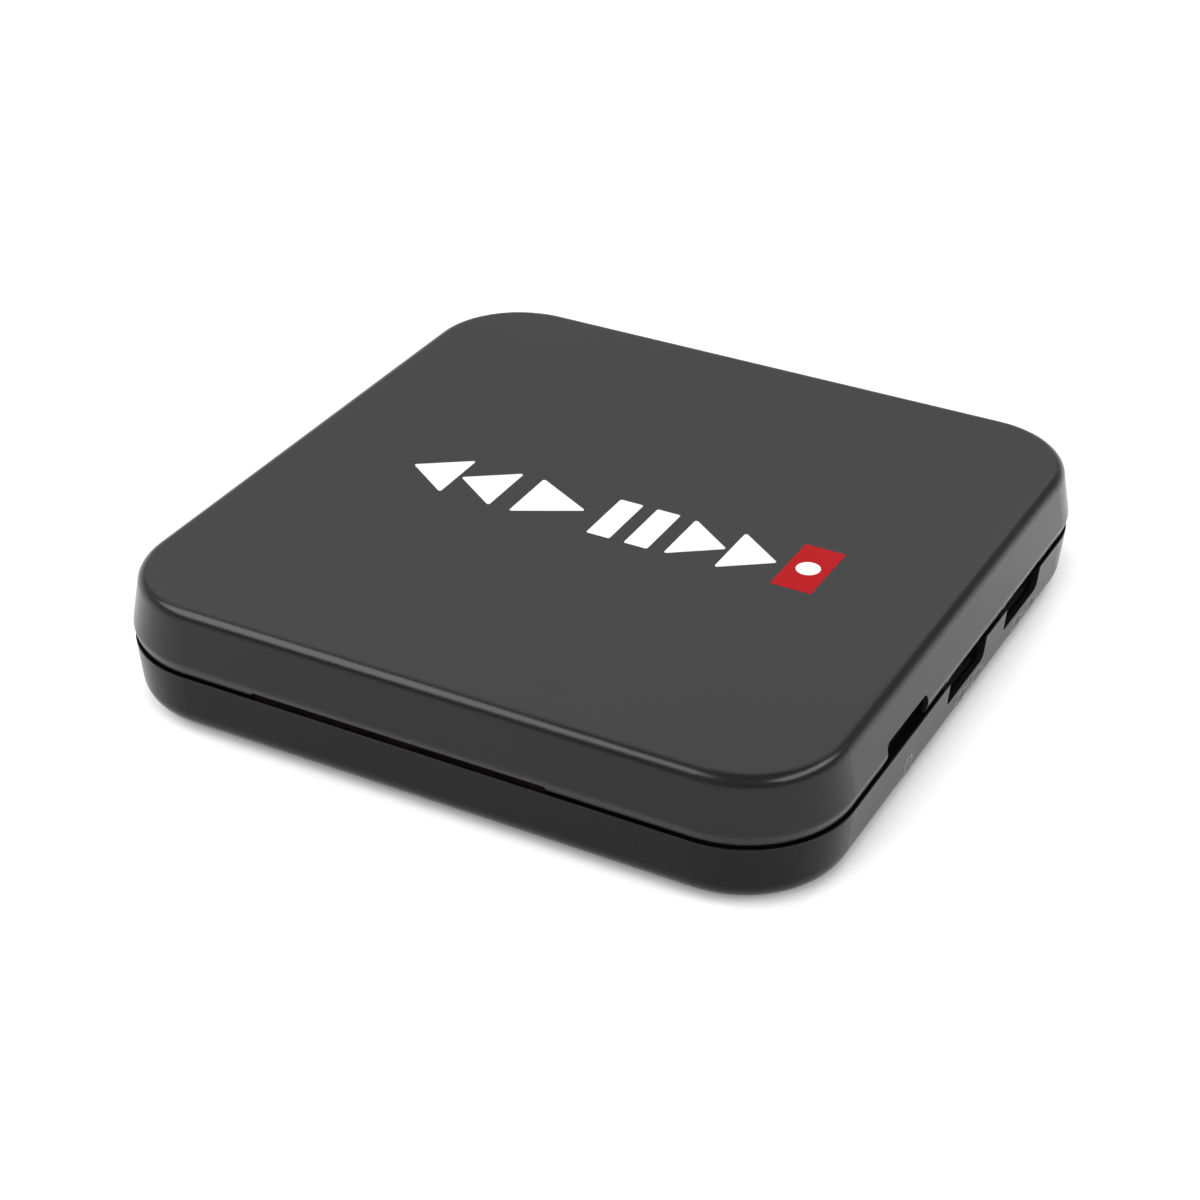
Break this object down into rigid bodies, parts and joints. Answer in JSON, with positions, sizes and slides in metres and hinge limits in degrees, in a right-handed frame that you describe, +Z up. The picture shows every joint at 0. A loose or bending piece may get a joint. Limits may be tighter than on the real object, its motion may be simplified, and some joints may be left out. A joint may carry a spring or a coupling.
{
  "type": "set-top recorder",
  "caption": "Compact square recorder and media box in a two-shell dark plastic case, with USB and card sockets at the side and signal and power sockets behind.",
  "frame": {"origin": "centre of the plan, on the plane the rubber feet stand on", "axes": "+X towards the side with the USB sockets, +Y towards the back with the signal and power sockets, +Z up; the infrared window faces -Y"},
  "size_m": [0.105, 0.105, 0.0192],
  "materials": {
    "case_plastic": "fine satin, dark grey",
    "window_plastic": "smoked, polished",
    "foot_rubber": "matte",
    "label_film": "blank satin film",
    "screw_steel": "blackened",
    "board_laminate": "lacquered laminate",
    "plated_steel": "tinned, satin",
    "socket_plastic": "moulded",
    "contact_gold": "gold flashed",
    "spring_steel": "bright wire",
    "lamp_plastic": "clear, slightly green",
    "chip_resin": "moulded resin",
    "pad_silicone": "soft",
    "sink_aluminium": "satin",
    "ferrite": "pressed powder",
    "ceramic_brown": "fired",
    "antenna_film": "copper on film",
    "lead_jacket": "smooth",
    "button_plastic": "moulded"
  },
  "bodies": {
    "case": {"upper_shell": "case_plastic", "lower_shell": "case_plastic", "ir_window": "window_plastic", "rubber_feet": "foot_rubber", "rating_label": "label_film", "case_screws": "screw_steel", "board_screws": "screw_steel", "main_board": "board_laminate", "usb_front_shield": "plated_steel", "usb_front_tongue": "socket_plastic", "usb_front_contacts": "contact_gold", "usb_rear_shield": "plated_steel", "usb_rear_tongue": "socket_plastic", "usb_rear_contacts": "contact_gold", "card_socket_frame": "socket_plastic", "card_socket_cover": "plated_steel", "card_socket_contacts": "contact_gold", "card_ejector_spring": "spring_steel", "hdmi_shield": "plated_steel", "hdmi_tongue": "socket_plastic", "hdmi_contacts": "contact_gold", "network_housing": "socket_plastic", "network_shield": "plated_steel", "network_contacts": "contact_gold", "network_lamps": "lamp_plastic", "optical_housing": "socket_plastic", "optical_shutter_pin": "spring_steel", "optical_shutter_spring": "spring_steel", "optical_emitter": "lamp_plastic", "av_jack_housing": "socket_plastic", "av_jack_collar": "plated_steel", "av_jack_contacts": "contact_gold", "power_inlet_housing": "socket_plastic", "power_inlet_pin": "plated_steel", "power_inlet_spring": "spring_steel", "processor": "chip_resin", "heat_pad": "pad_silicone", "heat_sink": "sink_aluminium", "memory_chips": "chip_resin", "flash_chip": "chip_resin", "power_chips": "chip_resin", "network_transformer": "chip_resin", "power_inductors": "ferrite", "storage_capacitors": "sink_aluminium", "ceramic_capacitors": "ceramic_brown", "chip_resistors": "chip_resin", "clock_crystal": "plated_steel", "wireless_board": "board_laminate", "wireless_shield": "plated_steel", "antenna": "antenna_film", "antenna_lead": "lead_jacket", "antenna_plug": "contact_gold", "ir_receiver": "window_plastic", "status_lamp": "lamp_plastic", "light_guide": "lamp_plastic", "recovery_switch": "socket_plastic"},
    "card_ejector": {"card_ejector": "socket_plastic"},
    "recovery_plunger": {"recovery_plunger": "button_plastic"},
    "optical_shutter": {"optical_shutter": "socket_plastic"}
  },
  "joints": [
    {"name": "card_ejector_slide", "type": "slide", "parent": "case", "child": "card_ejector", "axis": [-1, 0, 0], "range_m": [0, 0.0012], "stiffness_N_per_m": 300, "springref_m": -0.001, "deforming": ["card_ejector_spring"]},
    {"name": "recovery_plunger_press", "type": "slide", "parent": "case", "child": "recovery_plunger", "axis": [0, 0, 1], "range_m": [0, 0.00025], "stiffness_N_per_m": 4000, "springref_m": -0.00005},
    {"name": "optical_shutter_swing", "type": "hinge", "parent": "case", "child": "optical_shutter", "pos_m": [-0.0208, 0.04945, 0.0136], "axis": [-1, 0, 0], "range_deg": [0, 80], "stiffness_Nm_per_rad": 0.0004, "springref_deg": -20.05}
  ]
}
